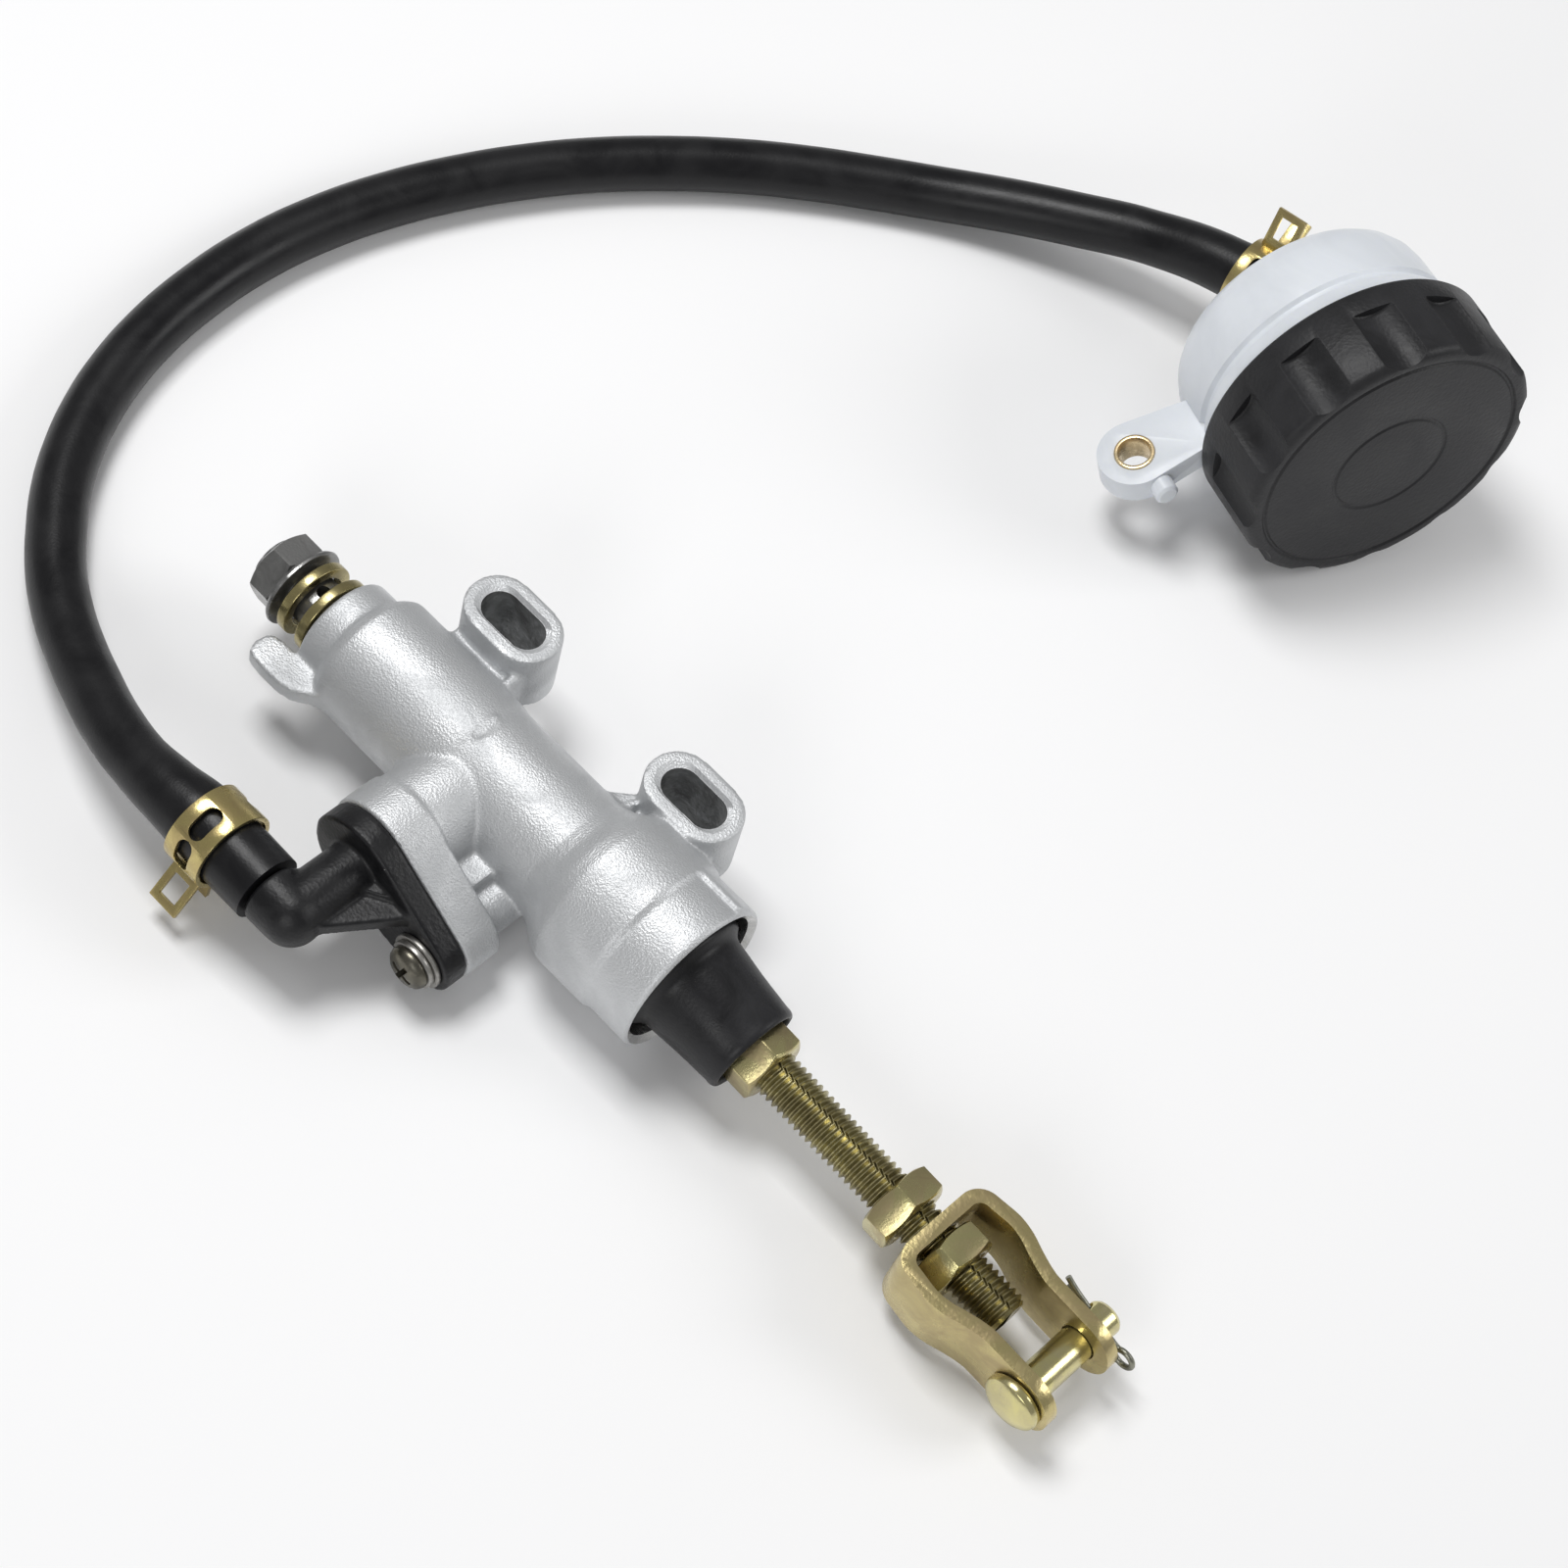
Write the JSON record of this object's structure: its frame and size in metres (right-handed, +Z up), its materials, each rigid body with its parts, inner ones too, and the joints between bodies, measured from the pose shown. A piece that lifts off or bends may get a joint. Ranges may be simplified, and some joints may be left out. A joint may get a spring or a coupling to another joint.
{
  "type": "rear brake master cylinder",
  "caption": "Rear brake master cylinder with remote fluid reservoir, supply hose, elbow, rubber boot, threaded push rod and clevis.",
  "frame": {"origin": "centre of the box round everything but the hose and its clamps, at the surface the part lies on", "axes": "+X along the bore from the outlet to the clevis, +Y from the cylinder towards the reservoir, +Z up, the way the fixing bosses face"},
  "size_m": [0.2476, 0.2411, 0.056],
  "materials": {
    "casting": "sand-textured silver paint",
    "nylon": "moulded satin",
    "rubber": "satin",
    "yellow_zinc": "yellow passivated zinc",
    "olive_zinc": "olive passivated zinc",
    "dark_steel": "oiled dark steel",
    "bright_steel": "plain",
    "white_plastic": "translucent, satin",
    "cap_plastic": "satin",
    "brass": "turned",
    "aluminium": "anodised"
  },
  "bodies": {
    "cylinder": {"cylinder_body": "casting", "inlet_elbow": "nylon", "elbow_seal": "rubber", "elbow_screw": "dark_steel", "elbow_spring_washer": "bright_steel", "elbow_flat_washer": "bright_steel", "banjo_bolt": "dark_steel", "banjo_washer_outer": "olive_zinc", "banjo_washer_inner": "olive_zinc", "stop_washer": "bright_steel", "circlip": "dark_steel", "return_spring": "bright_steel", "boot": "rubber", "reservoir_body": "white_plastic", "reservoir_bush": "brass", "supply_hose": "rubber", "hose_clamp_lower": "yellow_zinc", "hose_clamp_upper": "yellow_zinc"},
    "piston": {"piston": "aluminium", "primary_cup": "rubber", "secondary_cup": "rubber"},
    "rod": {"push_rod": "olive_zinc", "lock_nut": "yellow_zinc", "clevis_nut": "yellow_zinc"},
    "clevis": {"clevis": "yellow_zinc"},
    "pin": {"clevis_pin": "yellow_zinc", "cotter_pin": "dark_steel"},
    "lid": {"diaphragm": "rubber", "diaphragm_plate": "white_plastic"},
    "cap": {"reservoir_cap": "cap_plastic"}
  },
  "joints": [
    {"name": "piston_stroke", "type": "slide", "parent": "cylinder", "child": "piston", "axis": [-1, 0, 0], "range_m": [0, 0.012], "stiffness_N_per_m": 900, "springref_m": -0.008, "deforming": ["return_spring", "boot"]},
    {"name": "rod_swivel", "type": "hinge", "parent": "piston", "child": "rod", "pos_m": [-0.02101, -0.07243, 0.01501], "axis": [0, 1, 0], "range_deg": [-7, 1]},
    {"name": "clevis_turn", "type": "hinge", "parent": "rod", "child": "clevis", "pos_m": [0.06487, -0.07243, 0.01051], "axis": [0.9986, 0, -0.0523], "continuous": true},
    {"name": "pin_turn", "type": "hinge", "parent": "clevis", "child": "pin", "pos_m": [0.08484, -0.07243, 0.00946], "axis": [0, 1, 0], "continuous": true},
    {"name": "cap_lift", "type": "slide", "parent": "cylinder", "child": "lid", "axis": [0.9285, -0.3564, 0.1045], "range_m": [0, 0.0044]},
    {"name": "cap_turn", "type": "hinge", "parent": "lid", "child": "cap", "pos_m": [0.00654, 0.08648, 0.02824], "axis": [0.9285, -0.3564, 0.1045], "range_deg": [0, 540]}
  ],
  "couplings": [
    {"joint": "cap_turn", "follows": "cap_lift", "rad_per_m": 2127.7}
  ]
}
